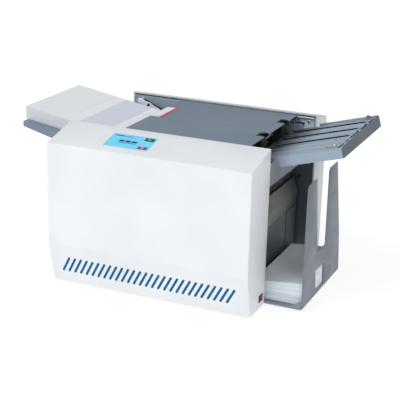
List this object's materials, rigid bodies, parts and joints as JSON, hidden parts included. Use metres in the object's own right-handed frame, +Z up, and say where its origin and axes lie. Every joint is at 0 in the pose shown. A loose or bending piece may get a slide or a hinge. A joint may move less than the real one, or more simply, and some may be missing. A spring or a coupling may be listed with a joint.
{
  "type": "mail folding and sealing machine",
  "caption": "Desktop mail folder and sealer: two white housings, sloping feed tray, ribbed upper fold plate, fold rollers, catch tray with forked end stop.",
  "frame": {"origin": "middle of the footprint at the bottom of the feet", "axes": "+X the way the paper runs, from feed tray to catch tray; +Y from the front housing with the control panel to the rear housing; +Z up"},
  "size_m": [0.6672, 0.427, 0.3334],
  "materials": {
    "housing_white": "fine satin powder coat",
    "frame_grey": "satin blue-grey paint",
    "sheet_grey": "satin light blue-grey paint",
    "bare_steel": "bright zinc and ground steel",
    "black_rubber": "matt",
    "roller_rubber": "matt ground",
    "black_plastic": "fine grain",
    "grey_plastic": "fine grain",
    "chute_taupe": "satin",
    "mesh_teal": "fine mesh",
    "label_white": "smooth label with a red edge",
    "display": "lit panel under a clear film",
    "key_green": "smooth",
    "key_red": "smooth",
    "rocker_red": "smooth",
    "board_green": "solder mask",
    "supply_metal": "brushed sheet",
    "motor_dark": "satin",
    "paper": "plain office paper"
  },
  "bodies": {
    "chassis": {"base_plate": "bare_steel", "feet": "black_rubber", "front_frame": "frame_grey", "rear_frame": "frame_grey", "tie_bars": "bare_steel", "front_cover": "housing_white", "vent_backing": "mesh_teal", "rear_cover": "housing_white", "left_panel": "frame_grey", "deck_plate": "frame_grey", "deck_label": "label_white", "guide_finger": "black_plastic", "rear_bracket": "sheet_grey", "display_screen": "display", "control_board": "board_green", "switch_frame": "black_plastic", "power_inlet": "black_plastic", "power_supply": "supply_metal", "feed_tray": "sheet_grey", "infeed_stack": "paper", "drive_motor": "motor_dark", "drive_belt": "black_rubber", "transfer_belt": "black_rubber", "feed_belt": "black_rubber", "paper_bed": "sheet_grey", "lower_fold_plate": "sheet_grey", "fascia": "frame_grey", "exit_chute": "chute_taupe", "bay_wall": "frame_grey", "case_screws": "bare_steel"},
    "start_key_body": {"start_key": "key_green"},
    "stop_key_body": {"stop_key": "key_red"},
    "rocker": {"switch_rocker": "rocker_red"},
    "near_guide_body": {"near_guide": "grey_plastic"},
    "far_guide_body": {"far_guide": "grey_plastic"},
    "hold_down": {"hold_down_arm": "bare_steel", "hold_down_rod": "black_plastic"},
    "feed_roller": {"feed_shaft": "bare_steel", "feed_wheels": "roller_rubber"},
    "pull_roller": {"pull_shaft": "bare_steel", "pull_wheels": "roller_rubber"},
    "retard": {"retard_shaft": "bare_steel", "retard_roller": "roller_rubber"},
    "nip_roller": {"nip_shaft": "bare_steel", "nip_wheels": "black_rubber"},
    "fold_1": {"fold_shaft_1": "bare_steel", "fold_roller_1": "roller_rubber"},
    "fold_2": {"fold_shaft_2": "bare_steel", "fold_roller_2": "roller_rubber"},
    "fold_3": {"fold_shaft_3": "bare_steel", "fold_roller_3": "roller_rubber"},
    "motor_rotor": {"motor_shaft": "bare_steel"},
    "fold_plate": {"upper_fold_plate": "sheet_grey", "stop_bracket": "sheet_grey", "plate_screws": "bare_steel"},
    "fold_stop_body": {"fold_stop": "black_plastic"},
    "catcher": {"catch_tray": "frame_grey", "end_stop": "frame_grey", "output_stack": "paper", "tray_feet": "black_rubber"}
  },
  "joints": [
    {"name": "fold_1_spin", "type": "hinge", "parent": "chassis", "child": "fold_1", "pos_m": [0.14521, 0.0135, 0.25285], "axis": [0, 1, 0], "continuous": true},
    {"name": "fold_2_spin", "type": "hinge", "parent": "chassis", "child": "fold_2", "pos_m": [0.15762, 0.0135, 0.21874], "axis": [0, 1, 0], "continuous": true},
    {"name": "fold_3_spin", "type": "hinge", "parent": "chassis", "child": "fold_3", "pos_m": [0.13947, 0.0135, 0.18731], "axis": [0, 1, 0], "continuous": true},
    {"name": "nip_spin", "type": "hinge", "parent": "chassis", "child": "nip_roller", "pos_m": [0.13539, 0.0135, 0.2878], "axis": [0, 1, 0], "continuous": true},
    {"name": "motor_spin", "type": "hinge", "parent": "chassis", "child": "motor_rotor", "pos_m": [0.08439, 0.0135, 0.116], "axis": [0, 1, 0], "continuous": true},
    {"name": "pull_spin", "type": "hinge", "parent": "chassis", "child": "pull_roller", "pos_m": [-0.03161, 0.0135, 0.2315], "axis": [0, 1, 0], "continuous": true},
    {"name": "feed_spin", "type": "hinge", "parent": "chassis", "child": "feed_roller", "pos_m": [-0.08357, 0.0135, 0.23704], "axis": [0, 1, 0], "continuous": true},
    {"name": "retard_spin", "type": "hinge", "parent": "chassis", "child": "retard", "pos_m": [-0.03161, 0.0135, 0.2661], "axis": [0, 1, 0], "continuous": true},
    {"name": "start_key_press", "type": "slide", "parent": "chassis", "child": "start_key_body", "axis": [0, 0.2279, -0.9737], "range_m": [0, 0.0006], "stiffness_N_per_m": 1500},
    {"name": "stop_key_press", "type": "slide", "parent": "chassis", "child": "stop_key_body", "axis": [0, 0.2279, -0.9737], "range_m": [0, 0.0006], "stiffness_N_per_m": 1500},
    {"name": "power_rock", "type": "hinge", "parent": "chassis", "child": "rocker", "pos_m": [0.19789, -0.1415, 0.0265], "axis": [0, 0, -1], "range_deg": [0, 14]},
    {"name": "near_guide_slide", "type": "slide", "parent": "chassis", "child": "near_guide_body", "axis": [0, -1, 0], "range_m": [0, 0.005]},
    {"name": "far_guide_slide", "type": "slide", "parent": "chassis", "child": "far_guide_body", "axis": [0, 1, 0], "range_m": [0, 0.005]},
    {"name": "hold_down_lift", "type": "hinge", "parent": "chassis", "child": "hold_down", "pos_m": [-0.19262, 0.0135, 0.301], "axis": [0, -1, 0], "range_deg": [0, 60]},
    {"name": "fold_plate_lift", "type": "hinge", "parent": "chassis", "child": "fold_plate", "pos_m": [0.15955, 0.0135, 0.27574], "axis": [0, -1, 0], "range_deg": [0, 16]},
    {"name": "fold_stop_slide", "type": "slide", "parent": "fold_plate", "child": "fold_stop_body", "axis": [-0.9627, 0, -0.2706], "range_m": [0, 0.09]},
    {"name": "catch_tray_slide", "type": "slide", "parent": "chassis", "child": "catcher", "axis": [1, 0, 0], "range_m": [0, 0.06]}
  ],
  "couplings": [
    {"joint": "fold_2_spin", "follows": "fold_1_spin", "ratio": -1},
    {"joint": "fold_3_spin", "follows": "fold_1_spin", "ratio": 1},
    {"joint": "nip_spin", "follows": "fold_1_spin", "ratio": -1},
    {"joint": "motor_spin", "follows": "fold_1_spin", "ratio": 1},
    {"joint": "pull_spin", "follows": "fold_1_spin", "ratio": 1},
    {"joint": "feed_spin", "follows": "fold_1_spin", "ratio": 1}
  ]
}
